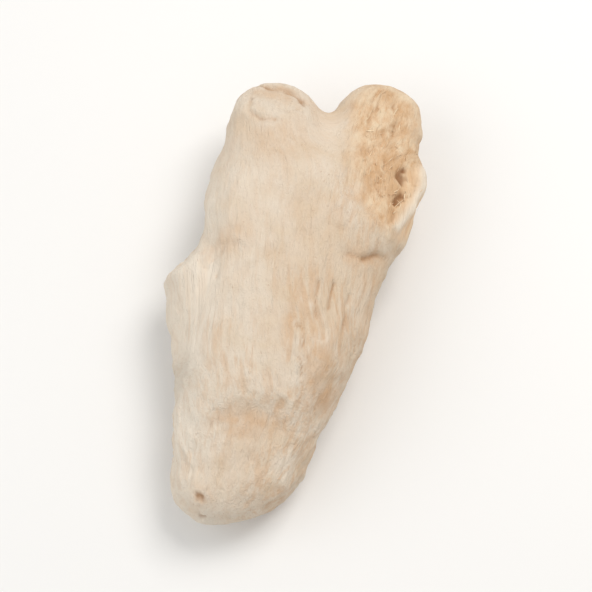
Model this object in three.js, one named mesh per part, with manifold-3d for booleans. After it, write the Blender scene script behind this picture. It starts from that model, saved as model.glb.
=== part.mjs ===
// A piece of whole dried ginger root (rhizome), scraped and sun-dried, as one solid.
//
// Millimetres, +Z up. The piece lies on a surface: its length runs along Y, with the two stub fingers
// at +Y and the rounded heel at -Y, and the origin is the middle of its bounding box's base.
// It rests on two pared flats that share one plane, one under the heel and one on a short nub under
// the fingers, so it arches clear of the surface between them.
//
// Its shape is a blend of cones with round ends, one for each swelling of the rhizome. Strokes of
// the scraping knife flatten that blend, and each point of an icosphere is moved out to its surface.
import * as THREE from "three";
import { mergeVertices } from "three/addons/utils/BufferGeometryUtils.js";
import Module from "manifold-3d";

// Driving dimensions
const SQUEEZE = 0.9; // thickness of a finger as a share of its width
const BLEND = 0.8; // how far neighbouring swellings run into each other
const KNIFE_EDGE = 0.3; // how softly a pared face meets the round surface beside it
const STROKE_LIFT = 0.2; // how fast the knife leaves the flesh past a stroke's reach, per millimetre
const BLANK = new THREE.Vector3(12.5, 22, 7.5); // half-sizes of the blank that is moved to the surface
const SUBDIVISIONS = 16; // of each edge of the icosphere
const SEARCH_REACH = 40; // farther than any point of the surface is from the heart
const SEARCH_STEPS = 24; // halvings of that reach, down to a few millionths of a millimetre
const MERGE_TOLERANCE = 1e-4;

const DRY_FLESH = new THREE.Color(0.79, 0.66, 0.5);

// A point well inside, from which every point of the surface is in plain sight.
const heart = new THREE.Vector3(-1, 0.5, 6.4);

// Swellings of the rhizome: each runs from the middle of one round end to the middle of the other.
const fingers = {
  heelLeft: finger([-7.4, -16, 4.3], [-6.6, -9, 6], 4.4, 4.7),
  heelRight: finger([-3.9, -14.8, 4.1], [-1.4, -5, 6.9], 5, 6.2),
  middle: finger([-2.6, -4, 6.8], [-1.2, 8, 7], 6.8, 6.8),
  middleRight: finger([1.6, -1.5, 6.2], [4.2, 9, 6.6], 5, 5.4),
  leftFinger: finger([-2.4, 8, 6.8], [-2.2, 16.7, 7.6], 6.5, 4.8),
  rightFinger: finger([4.2, 8, 6.6], [7.6, 17.4, 6.4], 5.3, 4.4),
  web: finger([2, 12, 6.6], [2.9, 15.5, 6.8], 3.6, 2.2),
  shoulder: finger([-8.4, 1.2, 5.8], [-7.7, -4.9, 6], 4.6, 3.9),
  tornRim: finger([10.2, 11.9, 6.6], [8.2, 7.2, 6.6], 1.9, 2),
  nub: finger([0.4, 9.4, 4], [0.8, 11.6, 2.1], 4.9, 3.9),
};

// Strokes of the knife: the middle of each pared face, the way it faces, and how far it is flat.
const strokes = {
  crown: stroke([0, 4, 12.2], [0.04, -0.03, 1], 8),
  back: stroke([-5, -6, 11.2], [-0.12, -0.14, 1], 7),
  heelTop: stroke([-4.6, -16.9, 8.56], [-0.05, -0.2, 1], 5),
  leftFlank: stroke([-11.4, -4, 7.9], [-0.86, -0.1, 0.5], 5),
  shoulderSide: stroke([-12.7, 0.5, 5.6], [-1, -0.06, 0], 5),
  shoulderSlope: stroke([-10.9, 4, 6], [-0.7, 0.75, 0.1], 2.5),
  rightFlank: stroke([6.1, -5.6, 7.1], [0.88, -0.42, 0.25], 6),
  leftFingerSide: stroke([-8.5, 11, 8], [-0.97, 0.18, 0.2], 6),
  leftFingerEnd: stroke([-2.2, 19.6, 10.4], [0, 0.5, 0.85], 4),
  snappedEnd: stroke([9.4, 13.2, 9], [0.4, 0.04, 0.9], 5.5),
  bellyRight: stroke([4.4, 1, 1.8], [0.5, -0.1, -0.85], 7),
  bellyLeft: stroke([-5, 3, 1.2], [-0.5, 0.1, -0.85], 7),
  heelUnder: stroke([-5, -19.6, 2.6], [0.1, -0.75, -0.6], 4),
  heelCorner: stroke([-0.6, -17.2, 5], [0.7, -0.7, 0.1], 4),
};

function finger(from, to, fromRadius, toRadius) {
  const axis = new THREE.Line3(squeezed(...from), squeezed(...to));
  return { axis, fromRadius, toRadius };
}

function stroke(at, normal, reach) {
  const middle = new THREE.Vector3(...at);
  const facing = new THREE.Vector3(...normal).normalize();
  return { middle, plane: new THREE.Plane().setFromNormalAndCoplanarPoint(facing, middle), reach };
}

// Distances are measured in a space stretched along Z, where a flattened finger is round.
function squeezed(x, y, z) {
  return new THREE.Vector3(x, y, z / SQUEEZE);
}

// Distance from a stretched point to a finger, whose radius eases from one end to the other.
function distanceToFinger(point, { axis, fromRadius, toRadius }) {
  const along = axis.closestPointToPointParameter(point, true);
  const nearest = axis.at(along, new THREE.Vector3());
  const share = THREE.MathUtils.smoothstep(along, 0, 1);
  return point.distanceTo(nearest) - THREE.MathUtils.lerp(fromRadius, toRadius, share);
}

// Height over a pared face, which falls away past the stroke's reach, where the knife has left the flesh.
function heightOverStroke(point, { middle, plane, reach }) {
  const beyond = Math.max(point.distanceTo(middle) - reach, 0);
  return plane.distanceToPoint(point) - STROKE_LIFT * beyond ** 2;
}

// The larger of two values, rounded off where they are close.
function softMax(a, b, softness) {
  return Math.max(a, b) + softness * Math.log1p(Math.exp(-Math.abs(a - b) / softness));
}

// Negative inside the root: the fingers joined with soft creases, then flattened by the strokes.
function rootField(point) {
  const stretched = squeezed(point.x, point.y, point.z);
  const nearness = Object.values(fingers).map((f) => Math.exp(-distanceToFinger(stretched, f) / BLEND));
  const joined = -BLEND * Math.log(nearness.reduce((sum, n) => sum + n));
  return Object.values(strokes).reduce(
    (field, s) => softMax(field, heightOverStroke(point, s), KNIFE_EDGE),
    joined,
  );
}

// The point of the surface that lies in one direction from the heart, found by halving.
function surfacePoint(direction) {
  let inside = 0;
  let outside = SEARCH_REACH;
  const point = new THREE.Vector3();
  for (let step = 0; step < SEARCH_STEPS; step++) {
    const middle = (inside + outside) / 2;
    point.copy(heart).addScaledVector(direction, middle);
    if (rootField(point) < 0) inside = middle;
    else outside = middle;
  }
  return point;
}

// A closed mesh with shared vertices and nothing but positions.
function closedSurface(geometry) {
  geometry.deleteAttribute("normal");
  geometry.deleteAttribute("uv");
  return mergeVertices(geometry, MERGE_TOLERANCE);
}

function rootSurface() {
  const geometry = closedSurface(new THREE.IcosahedronGeometry(1, SUBDIVISIONS));
  const positions = geometry.getAttribute("position");
  const direction = new THREE.Vector3();
  for (let i = 0; i < positions.count; i++) {
    direction.fromBufferAttribute(positions, i).multiply(BLANK).normalize();
    positions.setXYZ(i, ...surfacePoint(direction));
  }
  return geometry;
}

const wasm = await Module();
wasm.setup();

function toSolid(geometry) {
  const mesh = new wasm.Mesh({
    numProp: 3,
    vertProperties: geometry.getAttribute("position").array,
    triVerts: new Uint32Array(geometry.index.array),
  });
  return new wasm.Manifold(mesh);
}

function toGeometry(solid) {
  const { vertProperties, triVerts } = solid.getMesh();
  const geometry = new THREE.BufferGeometry();
  geometry.setAttribute("position", new THREE.BufferAttribute(vertProperties, 3));
  geometry.setIndex(new THREE.BufferAttribute(triVerts, 1));
  return geometry;
}

// The paring that takes everything below Z = 0 off the underside.
function undersideCutter() {
  const side = 3 * BLANK.y;
  const box = new THREE.BoxGeometry(side, side, side);
  box.translate(0, 0, -side / 2);
  return toSolid(closedSurface(box));
}

function gingerRoot() {
  const geometry = toGeometry(toSolid(rootSurface()).subtract(undersideCutter()));
  geometry.computeBoundingBox();
  const middle = geometry.boundingBox.getCenter(new THREE.Vector3());
  geometry.computeVertexNormals();
  const material = new THREE.MeshStandardMaterial({ color: DRY_FLESH, roughness: 0.85, metalness: 0 });
  const mesh = new THREE.Mesh(geometry, material);
  mesh.name = "ginger_root";
  mesh.position.set(-middle.x, -middle.y, 0);
  return mesh;
}

const part = new THREE.Group();
part.add(gingerRoot());

export default part;
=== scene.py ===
"""A piece of whole dried ginger root (rhizome), scraped and sun-dried, lying on a pale floor.

The root is one closed surface. Rays leave a spine inside the root towards the points of a box
lattice, and each point moves out to where its ray leaves a blend of round-ended cones, one for each
swelling, that strokes of a scraping knife have flattened. Rings, creases, wrinkles, root scars and
the torn end are then carved into it along its normals. Masks of where they are stay on the mesh as
attributes, which the materials read. Short fibres stand out of the torn end.

The shape is worked out in millimetres and written into the meshes in metres. Noise comes in endless
patterns, and a salt, a plain whole number, picks one of them.
"""

import math

import bpy
import numpy as np
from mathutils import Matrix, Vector


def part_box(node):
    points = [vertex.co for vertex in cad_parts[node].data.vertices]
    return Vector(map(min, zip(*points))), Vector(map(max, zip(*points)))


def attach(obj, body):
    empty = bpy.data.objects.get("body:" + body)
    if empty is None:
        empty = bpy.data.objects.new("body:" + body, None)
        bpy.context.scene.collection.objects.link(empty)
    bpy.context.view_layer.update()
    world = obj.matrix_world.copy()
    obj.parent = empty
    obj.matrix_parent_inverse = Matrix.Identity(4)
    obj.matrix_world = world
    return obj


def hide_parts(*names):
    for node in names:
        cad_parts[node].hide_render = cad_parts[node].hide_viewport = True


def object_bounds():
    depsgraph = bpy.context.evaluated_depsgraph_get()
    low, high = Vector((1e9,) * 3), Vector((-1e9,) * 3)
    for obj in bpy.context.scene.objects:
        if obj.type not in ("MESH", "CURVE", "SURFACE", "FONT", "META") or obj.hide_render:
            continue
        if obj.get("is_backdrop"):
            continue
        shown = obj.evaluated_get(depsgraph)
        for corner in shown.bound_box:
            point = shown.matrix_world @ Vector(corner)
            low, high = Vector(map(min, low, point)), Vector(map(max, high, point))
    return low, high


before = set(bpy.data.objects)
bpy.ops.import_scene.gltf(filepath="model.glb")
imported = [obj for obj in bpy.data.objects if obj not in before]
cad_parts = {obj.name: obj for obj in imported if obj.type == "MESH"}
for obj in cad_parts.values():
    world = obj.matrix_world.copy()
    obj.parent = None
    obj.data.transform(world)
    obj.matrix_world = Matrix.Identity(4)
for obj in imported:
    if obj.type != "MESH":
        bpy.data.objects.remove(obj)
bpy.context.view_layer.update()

bl_info = {
    "name": "Dried Ginger Root",
    "version": (1, 0, 0),
    "blender": (4, 5, 0),
    "location": "View3D > Sidebar > Ginger",
    "description": "Builds a piece of scraped, sun-dried ginger root with its stage",
    "category": "Add Mesh",
}

MM = 0.001  # metres in a millimetre
NODE = "ginger_root"
ROOT_PIECE = "dried_ginger_root"

# ---- The root's form, in millimetres: the same swellings and knife strokes as the solid's ----

SQUEEZE = 0.9  # thickness of a finger as a share of its width
BLEND = 0.8  # how far neighbouring swellings run into each other
KNIFE_EDGE = 0.3  # how softly a pared face meets the round surface beside it
STROKE_LIFT = 0.2  # how fast the knife leaves the flesh past a stroke's reach

# Each swelling runs from the middle of one round end to the middle of the other, with a radius at
# each.
FINGERS = {
    "heel_left": ((-7.4, -16, 4.3), (-6.6, -9, 6), 4.4, 4.7),
    "heel_right": ((-3.9, -14.8, 4.1), (-1.4, -5, 6.9), 5, 6.2),
    "middle": ((-2.6, -4, 6.8), (-1.2, 8, 7), 6.8, 6.8),
    "middle_right": ((1.6, -1.5, 6.2), (4.2, 9, 6.6), 5, 5.4),
    "left_finger": ((-2.4, 8, 6.8), (-2.2, 16.7, 7.6), 6.5, 4.8),
    "right_finger": ((4.2, 8, 6.6), (7.6, 17.4, 6.4), 5.3, 4.4),
    "web": ((2, 12, 6.6), (2.9, 15.5, 6.8), 3.6, 2.2),
    "shoulder": ((-8.4, 1.2, 5.8), (-7.7, -4.9, 6), 4.6, 3.9),
    "torn_rim": ((10.2, 11.9, 6.6), (8.2, 7.2, 6.6), 1.9, 2),
    "nub": ((0.4, 9.4, 4), (0.8, 11.6, 2.1), 4.9, 3.9),
}

# The middle of each pared face, the way it faces, and how far it is flat.
STROKES = {
    "crown": ((0, 4, 12.2), (0.04, -0.03, 1), 8),
    "back": ((-5, -6, 11.2), (-0.12, -0.14, 1), 7),
    "heel_top": ((-4.6, -16.9, 8.56), (-0.05, -0.2, 1), 5),
    "left_flank": ((-11.4, -4, 7.9), (-0.86, -0.1, 0.5), 5),
    "shoulder_side": ((-12.7, 0.5, 5.6), (-1, -0.06, 0), 5),
    "shoulder_slope": ((-10.9, 4, 6), (-0.7, 0.75, 0.1), 2.5),
    "right_flank": ((6.1, -5.6, 7.1), (0.88, -0.42, 0.25), 6),
    "left_finger_side": ((-8.5, 11, 8), (-0.97, 0.18, 0.2), 6),
    "left_finger_end": ((-2.2, 19.6, 10.4), (0, 0.5, 0.85), 4),
    "snapped_end": ((9.4, 13.2, 9), (0.4, 0.04, 0.9), 5.5),
    "belly_right": ((4.4, 1, 1.8), (0.5, -0.1, -0.85), 7),
    "belly_left": ((-5, 3, 1.2), (-0.5, 0.1, -0.85), 7),
    "heel_under": ((-5, -19.6, 2.6), (0.1, -0.75, -0.6), 4),
    "heel_corner": ((-0.6, -17.2, 5), (0.7, -0.7, 0.1), 4),
}

# The blank that rays are aimed at: its spine, its half width and thickness, and its reach past each
# end.
SPINE = ((-5.2, -12.5, 4.8), (2.2, 9.5, 6.7))
BLANK_HALF = (9.5, 6)
BLANK_REACH = (6.5, 10.5)
BODY_SHARE = 0.5  # of the lattice's length lies along the spine, and the rest wraps round the ends
SEARCH_REACH = 40
SEARCH_STEPS = 26

# ---- Numbers on whole arrays ----

OCTAVE_STEP = 2.03  # a little over 2, so that the cells of two octaves don't line up

# Large odd numbers and shifts that mix the bits of a cell's coordinates and of its salt.
CELL_MIXERS = [np.uint64(n) for n in (0x9E3779B97F4A7C15, 0xC2B2AE3D27D4EB4F, 0x165667B19E3779F9)]
SALT_MIXERS = (0x27D4EB2F, 0x85EBCA6B)
BIT_MIXERS = [
    (np.uint64(29), np.uint64(0xBF58476D1CE4E5B9)),
    (np.uint64(32), np.uint64(0x94D049BB133111EB)),
]
LAST_SHIFT = np.uint64(31)
SPARE_BITS = np.uint64(11)  # a float holds the other 53


def smoothstep(x, low=0.0, high=1.0):
    """0 below low, 1 above high, and 3t squared less 2t cubed between them."""
    t = np.clip((x - low) / (high - low), 0, 1)
    return t * t * (3 - 2 * t)


def bell(x, width):
    """A bell curve, 1 at zero and about a third at width."""
    return np.exp(-((x / width) ** 2))


def hashed(cell, salt):
    """A number from 0 to 1 for each whole-number cell: its coordinates and the salt, mixed by
    multiplying, shifting and exclusive-or."""
    x, y, z = (cell[..., i].astype(np.int64).astype(np.uint64) for i in range(3))
    with np.errstate(over="ignore"):
        n = x * CELL_MIXERS[0] ^ y * CELL_MIXERS[1] ^ z * CELL_MIXERS[2]
        n ^= np.uint64(salt * SALT_MIXERS[0] + SALT_MIXERS[1])
        for shift, mixer in BIT_MIXERS:
            n = (n ^ (n >> shift)) * mixer
    return ((n ^ (n >> LAST_SHIFT)) >> SPARE_BITS).astype(float) / 2.0**53


def noise(points, salt):
    """Value noise from -1 to 1: a hashed number at each corner of the cell a point is in, joined
    by curves of the fifth degree, so that slopes and curvatures run on from cell to cell."""
    cell = np.floor(points)
    t = points - cell
    t = t * t * t * (t * (t * 6 - 15) + 10)
    total = np.zeros(len(points))
    for corner in np.ndindex(2, 2, 2):
        share = np.prod(np.where(np.array(corner), t, 1 - t), axis=1)
        total += share * hashed(cell + corner, salt)
    return total * 2 - 1


def fractal(points, salt, octaves=3, rough=0.5):
    """Octaves of noise added up, each OCTAVE_STEP times as fine as the last and rough times as
    strong, over the sum of their strengths."""
    layers = [noise(points * OCTAVE_STEP**k, salt + k) * rough**k for k in range(octaves)]
    return sum(layers) / sum(rough**k for k in range(octaves))


def nearest_seed(points, salt):
    """Distance from each point to the nearest of scattered seeds, one at a hashed place in each
    cell of a unit grid."""
    home = np.floor(points)
    distances = []
    for step in np.ndindex(3, 3, 3):
        cell = home + np.array(step) - 1
        seed = np.stack([hashed(cell, salt + k) for k in range(3)], axis=1)
        distances.append(np.linalg.norm(cell + seed - points, axis=1))
    return np.min(distances, axis=0)


def along_segment(points, start, end):
    """The share of the way along a segment that is nearest to each point, and the distance to
    it."""
    start, end = np.array(start, float), np.array(end, float)
    run = end - start
    share = np.clip((points - start) @ run / (run @ run), 0, 1)
    return share, np.linalg.norm(points - start - share[:, None] * run, axis=1)


def distance_to_path(points, path):
    """Distance from each point to a path of straight stretches, in as many dimensions as the
    path has."""
    size = len(path[0])
    stretches = [along_segment(points[:, :size], a, b)[1] for a, b in zip(path, path[1:])]
    return np.min(stretches, axis=0)


# ---- The smooth root ----


def finger_distances(points):
    """Distance from each point to each swelling, with Z stretched so that a flattened finger is
    round. A swelling's radius eases from one end's to the other's."""
    stretch = np.array([1, 1, 1 / SQUEEZE])
    stretched = points * stretch
    distances = []
    for start, end, start_radius, end_radius in FINGERS.values():
        share, distance = along_segment(stretched, start * stretch, end * stretch)
        radius = start_radius + (end_radius - start_radius) * smoothstep(share)
        distances.append(distance - radius)
    return np.stack(distances, axis=1)


def soft_max(a, b, softness):
    """The larger of two values, rounded off where they are close."""
    return np.maximum(a, b) + softness * np.log1p(np.exp(-np.abs(a - b) / softness))


def height_over_stroke(points, name):
    """Height over a pared face, less the lift of the knife times the square of the way past its
    reach."""
    at, facing, reach = STROKES[name]
    facing = np.array(facing) / np.linalg.norm(facing)
    offset = points - np.array(at)
    beyond = np.maximum(np.linalg.norm(offset, axis=1) - reach, 0)
    return offset @ facing - STROKE_LIFT * beyond**2


def root_field(points):
    """Negative inside the root: minus the log of the sum of each swelling's exponential
    nearness, then the soft maximum of that and each pared face, and the plain maximum with the
    resting plane."""
    nearness = np.exp(-finger_distances(points) / BLEND)
    field = -BLEND * np.log(nearness.sum(axis=1))
    for name in STROKES:
        field = soft_max(field, height_over_stroke(points, name), KNIFE_EDGE)
    return np.maximum(field, -points[:, 2])


def field_normals(points, step=0.03):
    """The field's slope by central differences, as unit vectors."""
    axes = np.eye(3) * step
    slope = np.stack([root_field(points + a) - root_field(points - a) for a in axes], axis=1)
    return slope / np.linalg.norm(slope, axis=1, keepdims=True)


def under_ceiling(points, top, room=0.4):
    """Points whose heights near the top are eased by a hyperbolic tangent, so that none passes
    it."""
    over = points[:, 2] - top + room
    heights = np.where(over > 0, top - room + room * np.tanh(over / room), points[:, 2])
    return np.column_stack([points[:, :2], heights])


def box_lattice(counts):
    """Points of a lattice over all six sides of a box from -1 to 1, each one once, and the
    squares that join them, turned so that their faces point out."""
    squares = []
    for axis in range(3):
        u, v = (axis + 1) % 3, (axis + 2) % 3
        first, second = np.meshgrid(np.arange(counts[u]), np.arange(counts[v]), indexing="ij")
        for side in (0, 1):
            turns = [(0, 0), (1, 0), (1, 1), (0, 1)][:: 1 if side else -1]
            square = np.zeros((first.size, 4, 3), int)
            square[..., axis] = side * counts[axis]
            for corner, (du, dv) in enumerate(turns):
                square[:, corner, u] = first.ravel() + du
                square[:, corner, v] = second.ravel() + dv
            squares.append(square)
    corners = np.concatenate(squares).reshape(-1, 3)
    points, index = np.unique(corners, axis=0, return_inverse=True)
    return points / np.array(counts) * 2 - 1, index.reshape(-1, 4)


def root_surface(counts):
    """The smooth root as a function of a box lattice. A point's place along the lattice picks
    where on the spine its ray starts, and its place across picks where the ray is aimed. Past
    the spine's ends the rays lean out until they reach round them. The surface is found on each
    ray by halving."""
    lattice, squares = box_lattice(counts)
    across, length, through = lattice.T
    station = np.clip(length / BODY_SHARE, -1, 1) / 2 + 0.5
    start, end = np.array(SPINE, float)
    origin = start + station[:, None] * (end - start)
    lean = np.clip((np.abs(length) - BODY_SHARE) / (1 - BODY_SHARE), 0, 1) * np.sign(length)
    reach = np.where(lean < 0, *BLANK_REACH)
    aim = np.stack([across * BLANK_HALF[0], lean * reach, through * BLANK_HALF[1]], axis=1)
    aim /= np.linalg.norm(aim, axis=1, keepdims=True)
    inside, outside = np.zeros(len(aim)), np.full(len(aim), float(SEARCH_REACH))
    for _ in range(SEARCH_STEPS):
        middle = (inside + outside) / 2
        within = root_field(origin + aim * middle[:, None]) < 0
        inside, outside = np.where(within, middle, inside), np.where(within, outside, middle)
    return origin + aim * inside[:, None], squares


class Lattice:
    """The squares of a closed mesh and their edges, for averages over neighbours and for
    normals."""

    def __init__(self, count, squares):
        self.count = count
        self.squares = squares
        self.edges = np.concatenate([squares[:, [k, (k + 1) % 4]] for k in range(4)])
        self.valence = np.bincount(self.edges.ravel(), minlength=count)

    def average(self, values):
        """The mean of each point's neighbours, for one value or a row of values at each point."""
        if values.ndim == 2:
            return np.stack([self.average(column) for column in values.T], axis=1)
        a, b = self.edges.T
        total = np.bincount(a, values[b], self.count) + np.bincount(b, values[a], self.count)
        return total / self.valence

    def smooth(self, values, rounds):
        """Neighbour averages taken again and again, half a step each."""
        for _ in range(rounds):
            values = (values + self.average(values)) / 2
        return values

    def normals(self, points):
        """Unit normals at the points: the sum of the crossed diagonals of the squares that meet
        there."""
        corners = points[self.squares]
        across = np.cross(corners[:, 2] - corners[:, 0], corners[:, 3] - corners[:, 1])
        total = np.zeros_like(points)
        for k in range(4):
            for axis in range(3):
                total[:, axis] += np.bincount(self.squares[:, k], across[:, axis], self.count)
        return total / np.linalg.norm(total, axis=1, keepdims=True)


# ---- Relief ----

# How much each kind of relief raises or sinks the surface, in millimetres.
LUMPS = (0.3, 0.17)  # broad and small
DENTS = (0.09, 0.04)  # underneath and on top
SCOOPS = 0.24
WRINKLES = (0.2, 0.09)  # broad and fine
RING_DEPTHS = (0.16, 0.18)  # of the waist and of the fine line
RIDGE_HEIGHT = 0.1
SIDE_SWELL = 0.14
TORN_SUNK = 0.1
RIM_HEIGHT = 0.26
SCAR_RING = 0.12
SCAR_DIMPLE = 0.36

SMOOTHING_ROUNDS = 14  # before a point's height over its surroundings is taken

# A ring's broad waist, and its line, two grooves and a low ridge between: share, place and width.
WAIST_WIDTH = 0.85
RING_LINE = [(1.0, 0.0, 0.16), (0.5, 0.5, 0.14), (-0.35, 0.25, 0.2)]

# Rings that the scale leaves left round the swellings: how far along each one, in millimetres.
RINGS = {
    "left_finger": (6.2, 8.5, 10.9),
    "right_finger": (2.6, 6.4, 9.6),
    "middle": (1, 7),
    "heel_right": (0.6, 3.6),
    "heel_left": (1.2, 4.4),
    "shoulder": (0.4, 3.6),
    "nub": (0.2, 1.9),
}

# Creases on the upper side: the path in plan, its depth, its width and how broken up it is.
CREASES = [
    (((4.4, 3), (5.4, 2.8), (6.3, 2.8), (7.1, 3.1), (7.8, 3.5)), 0.16, 0.5, 0.2),
    (((4.7, 3), (5.6, 2.8), (6.4, 2.9)), 0.12, 0.2, 0.5),
    (((6.2, 2.9), (6.9, 3.1), (7.6, 3.5)), 0.26, 0.34, 0),
    (((-7.4, -11), (-5.6, -11.6), (-2.8, -11.6), (-1.6, -11)), 0.12, 0.7, 0.5),
    (((-3.9, 20.8), (-2.2, 20.5), (-0.8, 20), (0.6, 18.9)), 0.3, 0.32, 0.4),
    (((-1, 19.7), (0, 19.1), (0.7, 18.3)), 0.26, 0.36, 0),
    (((-4.4, 18.9), (-4.5, 17.4), (-3.4, 16.5), (-2.1, 16.2)), 0.22, 0.3, 0.2),
    (((-1.8, 18), (-0.8, 17.3), (0.3, 17.5)), 0.16, 0.26, 0.3),
    (((-0.9, -1.6), (-0.4, -2.8), (-1.1, -4), (-0.6, -5.2)), 0.24, 0.22, 0.6),
    (((0.1, -3.9), (0.6, -5.4), (0, -6.6), (0.3, -8.4)), 0.24, 0.22, 0.6),
    (((1.9, 0.2), (1.5, -1.4), (1.8, -3.2)), 0.22, 0.2, 0.5),
    (((3.5, 0.4), (3, -1.6), (3.1, -3), (2.2, -5)), 0.24, 0.22, 0.6),
    (((5, -0.4), (4.4, -2), (4.5, -3.8)), 0.2, 0.2, 0.6),
    (((-6.8, 3.8), (-7.1, 3.1), (-7.9, 2.7)), 0.15, 0.24, 0.4),
    (((-6.3, 2.4), (-7.2, 1.9), (-7.5, 0.9)), 0.16, 0.26, 0.4),
    (((-6.1, 3.5), (-5.3, 3.9), (-4.8, 3.6)), 0.16, 0.24, 0.2),
    (((-6.4, 5.2), (-5.3, 5.1)), 0.1, 0.28, 0.4),
    (((-9, 3), (-8.4, 2.1)), 0.12, 0.3, 0.4),
    (((-6.5, -13.2), (-6.6, -15.4), (-6.9, -17.2)), 0.12, 0.26, 0.6),
    (((-3.9, -13.4), (-4.1, -15.6)), 0.1, 0.24, 0.6),
    (((-9.6, -14), (-9.9, -16.6)), 0.13, 0.26, 0.6),
]

CREASE_LIPS = 0.12  # height of a crease's lips as a share of its depth
DARKEST_CREASE = 0.4  # the depth from which a crease is as dark as can be

# A low pale ridge over the shoulder, in plan.
SHOULDER_RIDGE = ((-4.2, 2.6), (-6.4, 1), (-8.3, -0.8), (-9.6, -5.6))

# Tan stains on the upper side, in plan: the middle, the half-sizes, the turn in degrees and the
# strength.
STAINS = [
    ((-4.4, -12.2), (4.2, 1.9), -4, 0.6),
    ((2, -7.6), (1.5, 4.6), -18, 0.5),
    ((3.2, -10), (1.9, 2), 0, 0.8),
    ((-0.7, -3.6), (0.7, 3.8), -6, 0.45),
    ((-6.7, 4.2), (3, 1.6), 28, 0.36),
    ((-1.8, 19.4), (3.6, 1.8), -14, 0.45),
    ((6, 3), (2.6, 1.1), 14, 0.45),
    ((-2, 13.6), (3.6, 5), 0, 0.3),
    ((-8.6, -18.6), (1.5, 1.7), 0, 0.45),
    ((-1.4, -18), (0.9, 0.7), 0, 0.5),
    ((6.8, -2), (1.1, 4.6), -10, 0.4),
    ((8.9, 10.9), (1.7, 3), 0, 0.75),
    ((9.5, 16.6), (0.8, 1.4), 0, 0.6),
    ((7.3, 11.5), (1, 1.2), 0, 0.5),
]

# Scars of rootlets: a place near the surface, a radius, and how deep it is as a share of the
# deepest.
ROOT_SCARS = [
    ((-8.7, -18.4, 7), 0.62, 1),
    ((-8.6, -19.9, 5.4), 0.45, 0.8),
    ((-7.8, -10.5, 10.4), 0.26, 0.3),
    ((-5.9, -10.8, 10.6), 0.26, 0.35),
    ((-2.4, -11.2, 10.4), 0.3, 0.4),
    ((0, 12, 12), 0.3, 0.3),
    ((-2, 10.6, 12.2), 0.3, 0.25),
    ((-11.9, -8.6, 5.2), 0.6, 0.7),
    ((-3.2, -6.4, 0.8), 0.8, 0.9),
    ((3.4, -1.2, 1.2), 0.9, 0.8),
    ((-6.4, 3.6, 1), 0.75, 0.9),
    ((6.6, -4.6, 4), 0.6, 0.7),
    ((-0.4, 2.6, 0.6), 0.6, 0.8),
    ((8.3, 8.4, 2.6), 0.7, 0.9),
    ((-6.6, 13.4, 4.4), 0.6, 0.8),
    ((-5.6, -19.6, 2.8), 0.5, 0.8),
    ((3, -10.4, 5), 0.5, 0.7),
]

# Small round eyes, where a bundle of fibres ends, in plan: the middle, the radius and the depth.
EYES = [
    ((3.8, 6.3), 0.9, 0.09),
    ((7.5, 11.4), 0.95, 0.09),
    ((9.3, 16.3), 0.55, 0.1),
    ((6.9, 18), 0.5, 0.05),
    ((8, 8.2), 0.6, 0.05),
]

# The torn end of the right finger, in plan: the line that it lies along, how far it reaches from
# that line, its pits and its raised rim.
TORN_LINE = ((8.3, 18), (8.7, 13), (9.2, 9.6))
TORN_REACH = 3.3
TORN_PITS = [
    (((9.9, 11.9), (9.7, 11.2)), 0.6, 0.62),
    (((9.7, 9.6), (9.4, 8.9)), 0.44, 0.5),
    (((9.4, 16.9), (9.2, 16.1)), 0.4, 0.26),
    (((9, 7.6), (8.8, 7)), 0.34, 0.22),
    (((7.3, 11.7), (7.9, 11.2)), 0.36, 0.2),
]
TORN_RIM = ((12, 13), (11.7, 10.9), (10.7, 8.6), (9.4, 6.4))

SHORT_SWELLING = 3  # length along Y


def grain_coordinates(points, weights):
    """Coordinates that run along the fingers: each point in each swelling's own turned frame,
    with those frames' results mixed by how much the point belongs to each swelling. Short
    swellings, which have no grain of their own, aren't turned."""
    grain = np.zeros_like(points)
    for column, (start, end, _, _) in enumerate(FINGERS.values()):
        run = np.array(end, float) - np.array(start, float)
        turn = math.atan2(run[0], run[1]) if abs(run[1]) > SHORT_SWELLING else 0.0
        across = np.array([math.cos(turn), -math.sin(turn), 0])
        ahead = np.array([math.sin(turn), math.cos(turn), 0])
        offset = points - np.array([start[0], start[1], 0])
        local = [offset @ across + start[0], offset @ ahead + start[1], points[:, 2]]
        grain += weights[:, column : column + 1] * np.stack(local, axis=1)
    return grain


def ring_relief(points, weights, wander):
    """Grooves round the swellings: bell curves of the distance along the axis from each ring's
    place, a broad waist and a fine line in it, which fades in and out round the finger."""
    waist, line = np.zeros((2, len(points)))
    names = list(FINGERS)
    rings = [(name, place) for name, places in RINGS.items() for place in places]
    for number, (name, place) in enumerate(rings):
        start, end, _, _ = FINGERS[name]
        run = np.array(end, float) - np.array(start, float)
        along = (points - np.array(start)) @ (run / np.linalg.norm(run)) - place
        along = along + 0.3 * wander + 0.7 * noise(points * 0.27, 40 + number)
        strength = smoothstep(noise(points * 0.24, 70 + number), -0.2, 0.5)
        own = smoothstep(weights[:, names.index(name)], 0.25, 0.7)
        waist += own * bell(along, WAIST_WIDTH)
        grooves = sum(share * bell(along - offset, width) for share, offset, width in RING_LINE)
        line += own * strength * grooves
    return waist, line


def scoop_relief(grain):
    """Shallow scrapes of the knife, longer than wide: the square of the distance to the nearest
    of a stretched scatter of seeds, less its usual size, so each scrape is a dish and the dishes
    meet in low ridges."""
    warp = 0.25 * fractal(grain * 0.25, 14)[:, None]
    return nearest_seed(grain / np.array([3.4, 8.0, 3.4]) + warp, 11) ** 2 - 0.6


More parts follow.
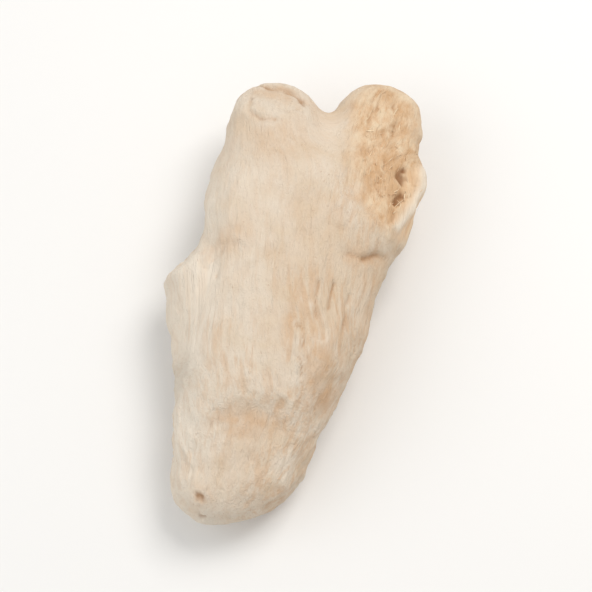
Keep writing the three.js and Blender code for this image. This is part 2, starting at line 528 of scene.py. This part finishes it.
def wrinkle_relief(grain):
    """Long shrinkage wrinkles, broad and fine: one less the size of a stretched and warped
    noise, squared, so that its zeros are crests."""
    warp = fractal(grain * np.array([0.3, 0.16, 0.3]), 21)[:, None] * np.array([1.5, 0, 1.5])
    broad = noise((grain + warp) * np.array([0.7, 0.13, 0.7]), 24)
    fine = noise((grain + warp) * np.array([1.9, 0.3, 1.9]), 25)
    return (1 - np.abs(broad)) ** 2, (1 - np.abs(fine)) ** 2


def scar_relief(points):
    """Each scar is a dimple inside a low ring, both bell curves of the distance to its middle,
    which noise pulls out of round."""
    relief, dark = np.zeros((2, len(points)))
    for number, (middle, radius, depth) in enumerate(ROOT_SCARS):
        away = np.linalg.norm(points - np.array(middle), axis=1)
        away = away * (1 + 0.35 * noise(points * 1.7, 130 + number))
        away = away + 0.15 * noise(points * 3.5, 120)
        ring = SCAR_RING * bell(away - radius * 1.4, radius * 0.6)
        relief += depth * (ring - SCAR_DIMPLE * bell(away, radius * 0.75))
        dark = np.maximum(dark, depth * smoothstep(radius * 1.3 - away, 0, radius * 1.1))
    return relief, dark


def eye_relief(points):
    """Each eye is a ring groove round a low boss, as bell curves of the distance to its middle
    in plan."""
    relief, dark = np.zeros((2, len(points)))
    for number, (middle, radius, depth) in enumerate(EYES):
        away = np.linalg.norm(points[:, :2] - middle, axis=1)
        away = away * (1 + 0.2 * noise(points * 1.4, 160 + number))
        groove = bell(away - radius, 0.24)
        relief += depth * (0.5 * bell(away, radius * 0.5) - groove)
        dark = np.maximum(dark, groove * min(1.0, depth / 0.16))
    return relief, dark


def stain_share(points):
    """How stained each point is: for each stain, one less the distance from its middle in
    half-sizes, eased, with noise in the distance so that its edge wanders."""
    share = np.zeros(len(points))
    ragged = 0.5 * fractal(points * 0.6, 141)
    for middle, half, turn, strength in STAINS:
        x, y = (points[:, :2] - middle).T
        c, s = math.cos(math.radians(turn)), math.sin(math.radians(turn))
        local = np.stack([c * x + s * y, c * y - s * x], axis=1)
        near = 1.15 - np.linalg.norm(local / half, axis=1) + ragged
        share = np.maximum(share, strength * smoothstep(near, 0, 1))
    return share


def torn_shares(points, normals):
    """How far a point is inside the torn end, for its relief and, more widely, for its colour:
    one less its distance from the torn line as a share of the reach, with its edge broken up by
    noise."""
    edge = 1 - distance_to_path(points, TORN_LINE) / TORN_REACH
    edge += 0.24 * fractal(points * 0.5, 51) + 0.2 * fractal(points * 1.6, 54)
    torn = smoothstep(edge, -0.1, 0.6) * smoothstep(normals[:, 2], 0.1, 0.7)
    yellowed = smoothstep(edge, -0.55, 0.35) * smoothstep(normals[:, 2], -0.5, 0.3)
    return torn, yellowed


def torn_relief(grain):
    """The torn end's heights: layers of warped noise drawn out along the fibres and shreds where
    a second noise is near zero, less small holes where a third is near its top."""
    warp = fractal(grain * 0.5, 150)[:, None] * np.array([0.9, 0.9, 0])
    drawn = (grain + warp) * np.array([1.0, 0.5, 1.0])
    layers = 0.2 * fractal(drawn * 0.8, 95) + 0.09 * fractal(drawn * 2.6, 98, 2)
    shreds = 0.07 * (1 - np.abs(noise(drawn * np.array([2.2, 1.0, 2.2]), 151))) ** 2
    holes = 0.22 * smoothstep(noise(drawn * np.array([2.0, 1.6, 2.0]), 152), 0.35, 0.8)
    return layers + shreds - holes


def crease_relief(points, up, wander):
    """Each crease is a groove with low lips, as bell curves of the distance to its path in plan.
    Noise makes its path wander and leaves gaps in it."""
    relief, dark = np.zeros((2, len(points)))
    gaps = 1 - smoothstep(noise(points * 1.1, 180), -0.6, 0.3)
    for path, depth, width, broken in CREASES:
        away = distance_to_path(points + 0.35 * wander[:, None], path)
        cut = bell(away, width) * up * (1 - broken * gaps)
        relief -= depth * (cut - CREASE_LIPS * bell(away - 2 * width, width) * up)
        dark = np.maximum(dark, cut * min(1.0, depth / DARKEST_CREASE))
    return relief, dark


def pit_depths(points, up, wander):
    """Depths of the torn end's pits: the deepest of the bell curves of the distance to each
    pit's path in plan, which noise makes ragged."""
    ragged = points + (0.35 * wander + 0.3 * noise(points * 2.1, 185))[:, None]
    pits = [bell(distance_to_path(ragged, path), width) * depth for path, width, depth in TORN_PITS]
    return np.max(pits, axis=0) * up


def root_relief(points, normals):
    """Heights along the normals in millimetres, the sum of every kind of relief, and the masks
    that the materials use. The top is pared smoother than the sides, the lower right shrivels
    most, and the torn end has a relief of its own."""
    x, y, _ = points.T
    weights = np.exp(-finger_distances(points) / BLEND)
    weights /= weights.sum(axis=1, keepdims=True)
    grain = grain_coordinates(points, weights)
    up = smoothstep(normals[:, 2], 0.0, 0.5)
    wander = fractal(points * 0.8, 31, 2)
    torn, yellowed = torn_shares(points, normals)

    lumps = LUMPS[0] * fractal(points * 0.16, 1, 2) + LUMPS[1] * fractal(points * 0.45, 5, 2)
    dents = (DENTS[0] + (DENTS[1] - DENTS[0]) * up) * fractal(points * 1.3, 8, 2)
    patch = smoothstep(fractal(points * 0.16, 61, 2), -0.1, 0.5)
    lower_right = smoothstep(x - 0.24 * y, -1.5, 1.5) * smoothstep(3.5 - y, 0, 4)
    shrivel = np.clip(0.35 - 0.08 * up + 0.45 * patch + 0.55 * lower_right, 0, 1)
    broad, fine = wrinkle_relief(grain)
    wrinkles = shrivel * (WRINKLES[0] * (broad - 1) + WRINKLES[1] * (fine - 1))
    waist, line = ring_relief(points, weights, wander)
    line *= 1 - 0.85 * up
    scars, scarred = scar_relief(points)
    eyes, eyed = eye_relief(points)
    creases, creased = crease_relief(points, up, wander)
    pits = pit_depths(points, up, wander)
    drift = wander[:, None]
    ridge = bell(distance_to_path(points + 0.3 * drift, SHOULDER_RIDGE), 0.55) * up
    rim = bell(distance_to_path(points + 0.25 * drift, TORN_RIM), 0.42) * up

    height = lumps + dents - RING_DEPTHS[0] * waist * (1 - 0.6 * up)
    height += RIDGE_HEIGHT * ridge + SIDE_SWELL * (1 - up)
    height += (1 - torn) * (SCOOPS * scoop_relief(grain) + wrinkles - RING_DEPTHS[1] * line)
    height += scars + eyes + creases
    height += torn * (torn_relief(grain) - TORN_SUNK) - pits + RIM_HEIGHT * rim
    masks = {
        # Paler towards -X and warmer towards +X: partly chalk dust, partly painted light and sheen.
        "dust": np.clip(0.5 - x / 18 + 0.3 * fractal(points * 0.12, 66), 0, 1),
        "torn": yellowed,
        "stain": stain_share(points) * up,
        # Where painted shade darkens the torn end's pits.
        "pit": np.clip(2 * pits, 0, 1),
        "rim": np.clip(rim + 0.3 * ridge, 0, 1),
        "scar": scarred,
        "crease": creased,
        "eye": eyed,
        "ring": np.clip(line, 0, 1),
        "shrivel": shrivel,
        "grain": grain,
    }
    return height, masks


# ---- Frayed fibres ----

FIBRE_COUNT = 130
FIBRE_RINGS = 7
FIBRE_SIDES = 4
FIBRE_LENGTH = (0.5, 1.5)
FIBRE_RADIUS = (0.035, 0.07)
FIBRE_SUNK = 0.12  # how deep a fibre's root lies under the flesh
FIBRE_AHEAD = (0.3, 0.95, 0.0)  # the way the fibres run in the right finger
FIBRE_SWING = 1.7  # angle between the ones that lean furthest to either side
FIBRES_BACK = 0.25  # share of the fibres that run back towards the heel
FIBRE_LIFT = (0.08, 0.5)  # the least angle off the flesh, and how much more it may be
FIBRE_CURL = 0.9
FIBRE_FLATNESS = 2.2  # how much wider a flat fibre may be than a round one
FIBRE_TIP = 0.04  # the square of the tip's share of the radius
FIBRE_FACING = 0.1  # the least upward part of the normal where a fibre grows
RIM_FIBRES = 0.8  # fibres on the rim as a share of those on the torn end


def chance(points, salt):
    """A hashed number for each point, from its place to a fiftieth of a millimetre."""
    return hashed(np.round(points * 50), salt)


def fibre_roots(points, share, count):
    """Points of the root that fibres grow from: those where a hashed number falls furthest below
    the share of fibres wanted there."""
    return np.argsort(chance(points, 201) - share)[:count]


def fibre_strands(roots, normals):
    """Tubes of four sides along curved paths. A path leaves its root along the finger's fibres,
    lifts by the sine of its angle, curls by the square of the way along, and its tube narrows to
    the tip by the root of what is left."""
    swing, back, long, lift, curl, thick, flat = (chance(roots, 211 + k)[:, None] for k in range(7))
    ahead = np.array(FIBRE_AHEAD) - (normals @ np.array(FIBRE_AHEAD))[:, None] * normals
    ahead /= np.linalg.norm(ahead, axis=1, keepdims=True)
    swing = (swing - 0.5) * FIBRE_SWING + np.pi * (back > 1 - FIBRES_BACK)
    run = ahead * np.cos(swing) + np.cross(normals, ahead) * np.sin(swing)
    side = np.cross(normals, run)
    length = (FIBRE_LENGTH[0] + (FIBRE_LENGTH[1] - FIBRE_LENGTH[0]) * long**2)[:, None]
    lift = (FIBRE_LIFT[0] + FIBRE_LIFT[1] * lift**2)[:, None]
    curl = ((curl - 0.5) * FIBRE_CURL)[:, None]
    along = np.linspace(0, 1, FIBRE_RINGS)[None, :, None]
    path = roots[:, None] + run[:, None] * along * length * np.cos(lift)
    path = path + normals[:, None] * (along * length * np.sin(lift) - FIBRE_SUNK)
    path = path + side[:, None] * curl * length * along**2
    radius = (FIBRE_RADIUS[0] + (FIBRE_RADIUS[1] - FIBRE_RADIUS[0]) * thick)[:, None]
    radius = radius * np.sqrt(1 + FIBRE_TIP - along)
    wide = (1 + FIBRE_FLATNESS * flat**4)[..., None, None]
    turns = (np.arange(FIBRE_SIDES) * 2 * np.pi / FIBRE_SIDES)[None, None, :, None]
    across = side[:, None, None] * np.cos(turns) * wide
    outward = normals[:, None, None] * np.sin(turns)
    strands = path[:, :, None] + radius[..., None] * (across + outward)
    return strands.reshape(-1, 3), strand_squares(len(roots))


def strand_squares(count):
    """The squares of that many tubes, each with its walls and its two ends, turned to face out."""
    ring = np.arange(FIBRE_RINGS - 1)[:, None] * FIBRE_SIDES
    k = np.arange(FIBRE_SIDES)[None]
    after = (k + 1) % FIBRE_SIDES
    further = ring + FIBRE_SIDES
    walls = np.stack([ring + k, ring + after, further + after, further + k], axis=2)
    last = (FIBRE_RINGS - 1) * FIBRE_SIDES
    caps = np.array([[3, 2, 1, 0], [last, last + 1, last + 2, last + 3]])
    one = np.concatenate([walls.reshape(-1, 4), caps])
    starts = np.arange(count)[:, None, None] * FIBRE_RINGS * FIBRE_SIDES
    return (one[None] + starts).reshape(-1, 4)


# ---- Meshes ----


def new_mesh(name, points, squares):
    """A mesh of four-sided faces, from points in millimetres."""
    mesh = bpy.data.meshes.new(name)
    mesh.vertices.add(len(points))
    mesh.vertices.foreach_set("co", (points * MM).astype(np.float32).ravel())
    mesh.loops.add(squares.size)
    mesh.loops.foreach_set("vertex_index", squares.astype(np.int32).ravel())
    mesh.polygons.add(len(squares))
    mesh.polygons.foreach_set("loop_start", np.arange(0, squares.size, 4, dtype=np.int32))
    mesh.polygons.foreach_set("loop_total", np.full(len(squares), 4, dtype=np.int32))
    mesh.polygons.foreach_set("use_smooth", np.ones(len(squares), dtype=bool))
    mesh.update(calc_edges=True)
    return mesh


def set_attribute(mesh, name, values):
    """Values at the mesh's points, one number or three at each."""
    kind, field = ("FLOAT", "value") if values.ndim == 1 else ("FLOAT_VECTOR", "vector")
    attribute = mesh.attributes.new(name, kind, "POINT")
    attribute.data.foreach_set(field, values.astype(np.float32).ravel())


def read_points(data, field, size=1):
    """A field of each item of a mesh's data, as an array with a row for each where size isn't 1."""
    values = np.empty(len(data) * size, np.float32)
    data.foreach_get(field, values)
    return values.reshape(-1, size).astype(float) if size > 1 else values


def place_object(mesh, material):
    """An object for a finished piece of the root, riding on its one body."""
    mesh.materials.append(material)
    piece = bpy.data.objects.new(mesh.name, mesh)
    bpy.context.scene.collection.objects.link(piece)
    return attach(piece, "root")


def cad_box():
    """The CAD root's lowest and highest corners in millimetres."""
    return [np.array(corner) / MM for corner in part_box(NODE)]


# ---- Materials ----

DRY_FLESH_IOR = 1.38


def srgb(red, green, blue):
    """A colour on Blender's linear scale from one on the usual scale of 0 to 255."""
    return tuple(pow((c / 255 + 0.055) / 1.055, 2.4) for c in (red, green, blue))


class Nodes:
    """Adds nodes to a node tree in short calls and links them as they are made."""

    def __init__(self, tree):
        self.tree = tree
        self.count = 0

    def add(self, kind, inputs=None, **settings):
        """A node of a kind with its settings, its inputs given as values or as other nodes'
        outputs."""
        node = self.tree.nodes.new(kind)
        node.location = (self.count * 190, -(self.count % 5) * 160)
        self.count += 1
        for name, value in settings.items():
            setattr(node, name, value)
        for name, value in (inputs or {}).items():
            socket = node.inputs[name]
            if isinstance(value, bpy.types.NodeSocket):
                self.tree.links.new(value, socket)
            elif socket.type == "RGBA":
                socket.default_value = (*value, 1.0)
            else:
                socket.default_value = value
        return node

    def attribute(self, name, output="Fac"):
        """A mask or a vector that the mesh carries."""
        return self.add("ShaderNodeAttribute", attribute_name=name).outputs[output]

    def math(self, operation, a, b=0.0):
        """A sum, product or the like of two values."""
        return self.add("ShaderNodeMath", {0: a, 1: b}, operation=operation).outputs[0]

    def ramp(self, value, low, high, to_low=0.0, to_high=1.0):
        """A value from to_low to to_high as the input goes from low to high, eased at both ends."""
        given = {"Value": value, "From Min": low, "From Max": high}
        given |= {"To Min": to_low, "To Max": to_high}
        node = self.add("ShaderNodeMapRange", given, interpolation_type="SMOOTHSTEP")
        return node.outputs["Result"]

    def mix(self, share, a, b):
        """A mix of two colours."""
        return self.add("ShaderNodeMix", {0: share, 6: a, 7: b}, data_type="RGBA").outputs[2]

    def cover(self, under, colour, value, low, high, most):
        """A colour laid over another, from none of it where the value is low to most where it is
        high."""
        return self.mix(self.ramp(value, low, high, 0.0, most), under, colour)

    def noise(self, vector, scale, detail=3.0, rough=0.55, distortion=0.0):
        """A noise from 0 to 1, with its scale in cells to the vector's unit."""
        given = {"Vector": vector, "Scale": scale, "Detail": detail}
        given |= {"Roughness": rough, "Distortion": distortion}
        return self.add("ShaderNodeTexNoise", given).outputs["Fac"]

    def stretch(self, vector, scale):
        """A vector times a scale on each axis."""
        return self.add("ShaderNodeMapping", {"Vector": vector, "Scale": scale}).outputs["Vector"]

    def bump(self, height, strength, distance):
        """A normal that a height turns, with its distance in metres."""
        given = {"Height": height, "Strength": strength, "Distance": distance}
        return self.add("ShaderNodeBump", given).outputs["Normal"]

    def surface(self, **inputs):
        """A Principled BSDF with the given inputs, led to the material's output."""
        given = {name.replace("_", " "): value for name, value in inputs.items()}
        shader = self.add("ShaderNodeBsdfPrincipled", given)
        self.add("ShaderNodeOutputMaterial", {"Surface": shader.outputs["BSDF"]})


def new_material(name):
    """A material with nothing in it yet, and what adds its nodes."""
    material = bpy.data.materials.new(name)
    material.use_nodes = True
    material.node_tree.nodes.clear()
    return material, Nodes(material.node_tree)


def fibre_group():
    """Fibre and chalk: streaks along the grain, mottling, pores, and a fine height, from the
    grain coordinates in millimetres. It is built once, and every material of the root holds it."""
    name = "Fibre And Chalk"
    if name in bpy.data.node_groups:
        return bpy.data.node_groups[name]
    tree = bpy.data.node_groups.new(name, "ShaderNodeTree")
    tree.interface.new_socket(name="Grain", in_out="INPUT", socket_type="NodeSocketVector")
    nodes = Nodes(tree)
    grain = nodes.add("NodeGroupInput").outputs["Grain"]
    long_fibres = nodes.noise(nodes.stretch(grain, (1.3, 0.2, 1.3)), 1.0, 4.0, 0.6, 0.5)
    fine_fibres = nodes.noise(nodes.stretch(grain, (4.5, 0.7, 4.5)), 1.0, 3.0, 0.6, 0.4)
    wrinkles = nodes.noise(nodes.stretch(grain, (2.4, 0.5, 2.4)), 1.0, 2.0, 0.5, 0.8)
    wrinkles = nodes.math("ABSOLUTE", nodes.math("SUBTRACT", wrinkles, 0.5))
    fibres = nodes.math("ADD", long_fibres, nodes.math("MULTIPLY", fine_fibres, 0.4))
    chalk = nodes.math("MULTIPLY", nodes.noise(grain, 6.0, 4.0, 0.7), 0.5)
    grit = nodes.math("ADD", nodes.math("MULTIPLY", fine_fibres, 0.5), chalk)
    results = {
        "Streak": nodes.ramp(fibres, 0.62, 0.86),
        "Mottle": nodes.noise(grain, 0.5, 5.0, 0.62),
        "Speck": nodes.ramp(nodes.noise(grain, 2.6, 2.0, 0.5), 0.7, 0.76),
        "Height": nodes.math("SUBTRACT", grit, nodes.math("MULTIPLY", wrinkles, 1.2)),
    }
    for output in results:
        tree.interface.new_socket(name=output, in_out="OUTPUT", socket_type="NodeSocketFloat")
    nodes.add("NodeGroupOutput", results)
    return tree


def fibre_outputs(nodes, grain):
    """The shared group's streaks, mottling, specks and height, for one material."""
    group = nodes.add("ShaderNodeGroup", {"Grain": grain}, node_tree=fibre_group())
    return [group.outputs[name] for name in ("Streak", "Mottle", "Speck", "Height")]


def flesh_material(colours):
    """Scraped and dried flesh: chalky pale, tan along its fibres, browner where skin is left in
    creases, with a straw-coloured torn end. Painted shade darkens its hollows and pits, a painted
    highlight lightens its high points, and it is paler towards -X and warmer towards +X, partly
    from dust and partly from painted light. Each layer covers the ones before it."""
    material, nodes = new_material("scraped_ginger")
    grain = nodes.attribute("grain", "Vector")
    torn, pit, rim = map(nodes.attribute, ("torn", "pit", "rim"))
    scar, crease, ring, eye = map(nodes.attribute, ("scar", "crease", "ring", "eye"))
    crest, shrivel, stain, dust = map(nodes.attribute, ("crest", "shrivel", "stain", "dust"))
    streak, mottle, speck, height = fibre_outputs(nodes, grain)

    broad = nodes.noise(grain, 0.14, 2.0, 0.5)
    streaked = nodes.math("MULTIPLY", streak, nodes.ramp(shrivel, 0.15, 0.9, 0.12, 0.5))
    stained = nodes.math("MULTIPLY", stain, nodes.ramp(mottle, 0.3, 0.62, 0.45, 1.0))
    tint = nodes.cover(colours.flesh, colours.warm, mottle, 0.38, 0.7, 1.0)
    tint = nodes.cover(tint, colours.chalk, broad, 0.42, 0.6, 0.45)
    tint = nodes.cover(tint, colours.warm, broad, 0.5, 0.36, 0.35)
    # Chalkier towards -X and warmer towards +X: partly dust, partly painted light and sheen.
    tint = nodes.cover(tint, colours.chalk, dust, 0.62, 1.0, 0.75)
    tint = nodes.cover(tint, colours.warm, dust, 0.45, 0.05, 0.5)
    tint = nodes.mix(streaked, tint, colours.fibre_and_shade)
    tint = nodes.mix(stained, tint, colours.fibre_and_shade)
    # Chalk dust and a painted highlight on the high points.
    tint = nodes.cover(tint, colours.chalk, crest, 0.02, 0.14, 0.5)
    # Painted shade in shallow hollows, in the tan of the fibres.
    tint = nodes.cover(tint, colours.fibre_and_shade, crest, -0.03, -0.16, 0.5)

    grit = nodes.noise(nodes.stretch(grain, (1.0, 0.6, 1.0)), 0.8, 5.0, 0.65)
    straw = nodes.cover(colours.straw, colours.straw_dark, grit, 0.42, 0.66, 1.0)
    straw = nodes.cover(straw, colours.straw_pale, grit, 0.5, 0.34, 0.6)
    # A painted highlight on the torn end's high points.
    straw = nodes.cover(straw, colours.straw_pale, crest, 0.03, 0.12, 0.5)
    # Painted shade in the torn end's hollows.
    straw = nodes.cover(straw, colours.rind_and_shade, crest, -0.05, -0.2, 0.6)
    straw = nodes.mix(nodes.math("MULTIPLY", stain, 0.8), straw, colours.straw_dark)
    tint = nodes.mix(nodes.math("MULTIPLY", torn, 0.9), tint, straw)
    tint = nodes.mix(nodes.math("MULTIPLY", rim, 0.75), tint, colours.chalk)

    ringed = nodes.math("MULTIPLY", nodes.ramp(ring, 0.2, 0.9), nodes.ramp(mottle, 0.35, 0.6))
    tint = nodes.mix(nodes.math("MULTIPLY", ringed, 0.5), tint, colours.rind_and_shade)
    tint = nodes.cover(tint, colours.rind_and_shade, eye, 0.3, 1.0, 0.4)
    tint = nodes.cover(tint, colours.rind_and_shade, crease, 0.2, 0.95, 0.7)
    tint = nodes.cover(tint, colours.rind_and_shade, scar, 0.1, 1.0, 0.75)
    # Painted shade in the deepest hollows and in the torn end's pits.
    tint = nodes.cover(tint, colours.hollow_shade, crest, -0.16, -0.4, 1.0)
    tint = nodes.cover(tint, colours.hollow_shade, pit, 0.25, 1.0, 0.75)
    tint = nodes.mix(nodes.math("MULTIPLY", speck, 0.25), tint, colours.rind_and_shade)

    rough = nodes.ramp(mottle, 0.3, 0.7, 0.75, 0.95)
    normal = nodes.bump(height, 0.9, 0.00024)
    nodes.surface(Base_Color=tint, Roughness=rough, Normal=normal, IOR=DRY_FLESH_IOR)
    return material


def fibre_material(colours):
    """Torn fibres: straw, darker along their streaks."""
    material, nodes = new_material("torn_fibre")
    streak, mottle, _, height = fibre_outputs(nodes, nodes.attribute("grain", "Vector"))
    tint = nodes.cover(colours.straw_pale, colours.straw, mottle, 0.35, 0.6, 1.0)
    tint = nodes.mix(nodes.math("MULTIPLY", streak, 0.6), tint, colours.straw_dark)
    rough = nodes.ramp(mottle, 0.3, 0.7, 0.7, 0.9)
    normal = nodes.bump(height, 0.5, 0.00005)
    nodes.surface(Base_Color=tint, Roughness=rough, Normal=normal, IOR=DRY_FLESH_IOR)
    return material


def floor_material(stage):
    """A matt pale board with the faintest mottling."""
    material, nodes = new_material("pale_floor")
    cloud = nodes.noise(nodes.add("ShaderNodeTexCoord").outputs["Object"], 9.0, 2.0, 0.5)
    colour = nodes.cover(stage.floor_colour, stage.floor_shade, cloud, 0.35, 0.65, 0.5)
    nodes.surface(Base_Color=colour, Roughness=0.6)
    return material


# ---- Settings ----


def colour_property(name, description, red, green, blue):
    """A colour that the user can change, with its default on the scale of 0 to 255."""
    given = {"name": name, "description": description, "default": srgb(red, green, blue)}
    return bpy.props.FloatVectorProperty(**given, subtype="COLOR", size=3, min=0, max=1)


def count_property(name, description, default, low, high):
    """A whole number of squares that the user can change."""
    given = {"name": name, "description": description}
    return bpy.props.IntProperty(**given, default=default, min=low, max=high)


def number_property(name, description, default, **more):
    """A number that the user can change."""
    return bpy.props.FloatProperty(name=name, description=description, default=default, **more)


class GingerShape(bpy.types.PropertyGroup):
    """How finely the root is made, and how deep its relief is."""

    across: count_property("Across", "Squares of the lattice across the root", 92, 12, 100)
    along: count_property("Along", "Squares of the lattice along the root", 232, 24, 260)
    through: count_property("Through", "Squares of the lattice through its thickness", 62, 8, 80)
    relief: number_property("Relief", "Strength of the relief", 1.0, min=0, max=2)


class GingerColours(bpy.types.PropertyGroup):
    """Colours of the dried flesh, and of the shade and highlights painted on it."""

    flesh: colour_property("Flesh", "Scraped flesh", 222, 203, 181)
    # Also the painted warmer light towards +X.
    warm: colour_property("Warm flesh", "Flesh where it has yellowed", 219, 198, 172)
    # Chalk dust, also the painted highlight on high points and the painted sheen towards -X.
    chalk: colour_property("Chalk", "Dusty high points", 234, 223, 207)
    # Tan of fibres and stains, also painted shade in shallow hollows.
    fibre_and_shade: colour_property("Fibre", "Fibres and shallow hollows", 208, 168, 128)
    straw: colour_property("Straw", "The torn end", 230, 200, 165)
    straw_dark: colour_property("Dark straw", "The torn end's darker grain", 213, 172, 129)
    # Pale straw, also the painted highlight on the torn end's high points.
    straw_pale: colour_property("Pale straw", "The torn end's high points", 238, 217, 185)
    # Skin left in creases, scars, rings and eyes, and painted shade in the torn end's hollows.
    rind_and_shade: colour_property("Rind", "Skin left in creases", 172, 128, 90)
    # Painted shade in the deepest hollows and pits.
    hollow_shade: colour_property("Hollow", "The deepest pits", 140, 94, 56)


class GingerStage(bpy.types.PropertyGroup):
    """The floor and the camera."""

    floor_colour: colour_property("Floor", "The floor's colour", 240, 239, 237)
    floor_shade: colour_property("Floor shade", "The floor's mottling", 236, 235, 233)
    elevation: number_property(
        "Elevation", "The camera's angle above the floor", math.radians(72), subtype="ANGLE"
    )
    lens: number_property(
        "Lens", "Focal length of the camera", 120.0, min=20, max=300, unit="CAMERA"
    )
    fill: number_property(
        "Fill", "Share of the frame that the root's length fills", 0.8, min=0.2, max=0.95
    )


# ---- Operators ----

FLOOR_HALF = 0.6  # metres

# Square lights over the floor: the place and the width in metres, the power in watts, and the
# colour.
LIGHTS = (
    ("key_light", (0.1, 0.1, 0.25), 0.14, 0.415, (1, 0.97, 0.94)),
    ("fill_light", (-0.22, -0.06, 0.2), 0.3, 0.29, (0.95, 0.98, 1)),
)
LIT_SPOT = (0, 0, 0.006)
SKY_COLOUR = (1, 0.995, 0.985, 1)
SKY_STRENGTH = 0.58

# The camera's clipping, in shares of its distance from the root.
NEAREST_SEEN = 0.1
FURTHEST_SEEN = 20


def aim_object(name, data, place, direction):
    """A light or a camera at a place, turned so that it faces along a direction."""
    made = bpy.data.objects.new(name, data)
    made.location = place
    made.rotation_euler = direction.to_track_quat("-Z", "Y").to_euler()
    bpy.context.scene.collection.objects.link(made)
    return made


class GINGER_OT_root(bpy.types.Operator):
    """Build the ginger root"""

    bl_idname = "ginger.root"
    bl_label = "Ginger Root"

    def execute(self, context):
        """Each point of the smooth root moves along its normal by the height of the relief there.
        Its crest mask is how far it then stands over the root smoothed. The root's middle in plan
        moves to that of the CAD root's box, and no point leaves that box."""
        shape = context.scene.ginger_shape
        points, squares = root_surface((shape.across, shape.along, shape.through))
        low, high = cad_box()
        centring = (low + high - points.min(axis=0) - points.max(axis=0)) / 2
        centring[2] = 0
        normals = field_normals(points)
        height, masks = root_relief(points, normals)
        carved = points + normals * (height * shape.relief)[:, None]
        carved[:, 2] = np.maximum(carved[:, 2], 0)
        lattice = Lattice(len(points), squares)
        smoothed = lattice.smooth(carved, SMOOTHING_ROUNDS)
        over = np.sum((carved - smoothed) * lattice.normals(smoothed), axis=1)
        # The materials paint highlights where this is high and shade where it is low.
        masks["crest"] = lattice.smooth(over, 1)
        carved = np.clip(under_ceiling(carved + centring, high[2]), low, high)
        mesh = new_mesh(ROOT_PIECE, carved, squares)
        for name, values in masks.items():
            set_attribute(mesh, name, values)
        root = place_object(mesh, flesh_material(context.scene.ginger_colours))
        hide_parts(NODE)
        return {"FINISHED"}


class GINGER_OT_fibres(bpy.types.Operator):
    """Fray the torn end with short fibres"""

    bl_idname = "ginger.fibres"
    bl_label = "Frayed Fibres"

    def execute(self, context):
        """Where a point of the root faces up, the share of fibres wanted there is the larger of
        its torn mask and RIM_FIBRES times its rim mask."""
        root = bpy.data.objects[ROOT_PIECE].data
        points = read_points(root.vertices, "co", 3) / MM
        normals = read_points(root.vertices, "normal", 3)
        torn, rim = (read_points(root.attributes[name].data, "value") for name in ("torn", "rim"))
        wanted = np.where(normals[:, 2] > FIBRE_FACING, np.maximum(torn, RIM_FIBRES * rim), 0)
        chosen = fibre_roots(points, wanted, FIBRE_COUNT)
        strands, squares = fibre_strands(points[chosen], normals[chosen])
        mesh = new_mesh("frayed_fibres", np.clip(strands, *cad_box()), squares)
        set_attribute(mesh, "grain", strands)
        place_object(mesh, fibre_material(context.scene.ginger_colours))
        return {"FINISHED"}


class GINGER_OT_stage(bpy.types.Operator):
    """Set the floor, the lights and the camera"""

    bl_idname = "ginger.stage"
    bl_label = "Stage"

    def execute(self, context):
        """The camera's distance is half the frame's span at the root over the tangent of half its
        angle of view."""
        scene = context.scene
        stage = scene.ginger_stage
        corners = np.array([(-1, -1, 0), (1, -1, 0), (1, 1, 0), (-1, 1, 0)]) * FLOOR_HALF
        mesh = new_mesh("floor", corners / MM, np.array([[0, 1, 2, 3]]))
        mesh.materials.append(floor_material(stage))
        floor = bpy.data.objects.new("floor", mesh)
        scene.collection.objects.link(floor)
        floor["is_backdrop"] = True

        for name, place, width, power, colour in LIGHTS:
            light = bpy.data.lights.new(name, "AREA")
            light.size, light.energy, light.color = width, power, colour
            aim_object(name, light, Vector(place), Vector(LIT_SPOT) - Vector(place))
        world = bpy.data.worlds.new("studio")
        world.use_nodes = True
        background = world.node_tree.nodes["Background"]
        background.inputs["Color"].default_value = SKY_COLOUR
        background.inputs["Strength"].default_value = SKY_STRENGTH
        scene.world = world
        scene.view_settings.view_transform = "Standard"

        low, high = (Vector(corner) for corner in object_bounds())
        _, length, thickness = high - low
        tall = length * math.sin(stage.elevation) + thickness * math.cos(stage.elevation)
        lens = bpy.data.cameras.new("camera")
        lens.lens = stage.lens
        away = tall / stage.fill / 2 / (lens.sensor_width / 2 / stage.lens)
        lens.clip_start, lens.clip_end = away * NEAREST_SEEN, away * FURTHEST_SEEN
        back = Vector((0, -math.cos(stage.elevation), math.sin(stage.elevation)))
        scene.camera = aim_object("camera", lens, (low + high) / 2 + back * away, -back)
        return {"FINISHED"}


class GINGER_PT_panel(bpy.types.Panel):
    """Lists the root's settings and the operators that build it"""

    bl_idname = "GINGER_PT_panel"
    bl_label = "Ginger Root"
    bl_space_type = "VIEW_3D"
    bl_region_type = "UI"
    bl_category = "Ginger"

    def draw(self, context):
        for group, cls in SETTINGS.items():
            box = self.layout.box()
            for name in cls.__annotations__:
                box.prop(getattr(context.scene, group), name)
        for operator in OPERATORS:
            self.layout.operator(operator.bl_idname)


SETTINGS = {
    "ginger_shape": GingerShape,
    "ginger_colours": GingerColours,
    "ginger_stage": GingerStage,
}
OPERATORS = (GINGER_OT_root, GINGER_OT_fibres, GINGER_OT_stage)
CLASSES = (*SETTINGS.values(), *OPERATORS, GINGER_PT_panel)


def register():
    """Make the classes and the scene's settings known to Blender."""
    for cls in CLASSES:
        bpy.utils.register_class(cls)
    for name, cls in SETTINGS.items():
        setattr(bpy.types.Scene, name, bpy.props.PointerProperty(type=cls))


def unregister():
    """Take the settings and the classes out again."""
    for name in SETTINGS:
        delattr(bpy.types.Scene, name)
    for cls in reversed(CLASSES):
        bpy.utils.unregister_class(cls)


def main():
    """Register the classes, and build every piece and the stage."""
    register()
    bpy.ops.ginger.root()
    bpy.ops.ginger.fibres()
    bpy.ops.ginger.stage()


if __name__ == "__main__":
    main()
